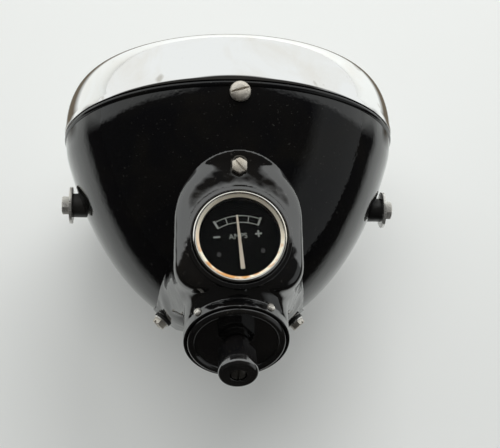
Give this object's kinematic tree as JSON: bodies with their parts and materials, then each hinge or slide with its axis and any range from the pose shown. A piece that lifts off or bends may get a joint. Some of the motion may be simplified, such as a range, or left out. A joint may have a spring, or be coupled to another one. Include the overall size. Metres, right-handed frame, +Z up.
{
  "type": "motorcycle headlamp",
  "caption": "Round black bowl headlamp with a bright rim, a top panel with an ammeter, and a rear rotary switch, hung on side bolts.",
  "frame": {"origin": "midway between the two side pivot bolts, on their common axis", "axes": "+Z up, -Y the way the lens faces, +Y towards the rider, X along the pivot axis"},
  "size_m": [0.2132, 0.2057, 0.2158],
  "materials": {
    "black_enamel": "deep gloss black stove enamel",
    "panel_enamel": "brushed-on gloss black enamel with a slight ripple",
    "rim_chrome": "bright chrome plate",
    "bezel_nickel": "bright plate with a warm tint",
    "plated_screw": "bright zinc or nickel plate",
    "bolt_plate": "bright plated steel",
    "inner_steel": "plain plated steel",
    "lens_glass": "clear pressed glass",
    "bulb_glass": "clear thin glass",
    "dial_glass": "clear flat glass",
    "mirror_silver": "silvered reflector",
    "black_rubber": "matt black rubber",
    "brass": "plain brass",
    "dial_black": "matt black dial",
    "scale_cream": "pale printed marks",
    "needle_cream": "cream painted needle",
    "case_zinc": "plated case",
    "cover_black": "moulded gloss black",
    "knob_black": "moulded gloss black",
    "switch_brown": "moulded dark brown insulator",
    "spacer_black": "black spacer"
  },
  "bodies": {
    "lamp": {"shell": "black_enamel", "wiring_grommet": "black_rubber", "rim": "rim_chrome", "rim_tab": "inner_steel", "rim_hook": "inner_steel", "rim_screw": "plated_screw", "lens_glass": "lens_glass", "lens_seal": "black_rubber", "mirror_bowl": "mirror_silver", "mirror_clips": "inner_steel", "bulb_holder": "brass", "main_bulb": "bulb_glass", "main_bulb_cap": "brass", "side_light_holder": "brass", "side_light_bulb": "bulb_glass", "panel": "panel_enamel", "panel_top_screw": "plated_screw", "panel_top_nut": "inner_steel", "panel_side_packings": "black_rubber", "panel_side_washers": "plated_screw", "panel_side_screws": "plated_screw", "panel_side_nuts": "inner_steel", "ammeter_case": "case_zinc", "ammeter_movement": "brass", "ammeter_dial": "dial_black", "ammeter_scale": "scale_cream", "ammeter_dial_rivets": "dial_black", "ammeter_glass": "dial_glass", "ammeter_bezel": "bezel_nickel", "ammeter_bracket": "inner_steel", "ammeter_studs": "brass", "ammeter_nuts": "brass", "switch_cover": "cover_black", "switch_body": "switch_brown", "switch_terminals": "brass", "switch_collar_screws": "plated_screw", "pivot_spacers": "spacer_black", "pivot_washers": "bolt_plate", "pivot_bolts": "bolt_plate", "pivot_blocks": "inner_steel", "pivot_nuts": "inner_steel"},
    "knob": {"switch_knob": "knob_black", "knob_screw": "plated_screw", "switch_spindle": "inner_steel"},
    "needle": {"ammeter_needle": "needle_cream"}
  },
  "joints": [
    {"name": "switch_turn", "type": "hinge", "parent": "lamp", "child": "knob", "pos_m": [0, 0.0995, 0.066], "axis": [0, 0.8572, 0.515], "range_deg": [-45, 45]},
    {"name": "needle_swing", "type": "hinge", "parent": "lamp", "child": "needle", "pos_m": [-0.00167, 0.06191, 0.0945], "axis": [0, 0, 1], "range_deg": [-27, 27], "stiffness_Nm_per_rad": 0.00002}
  ]
}
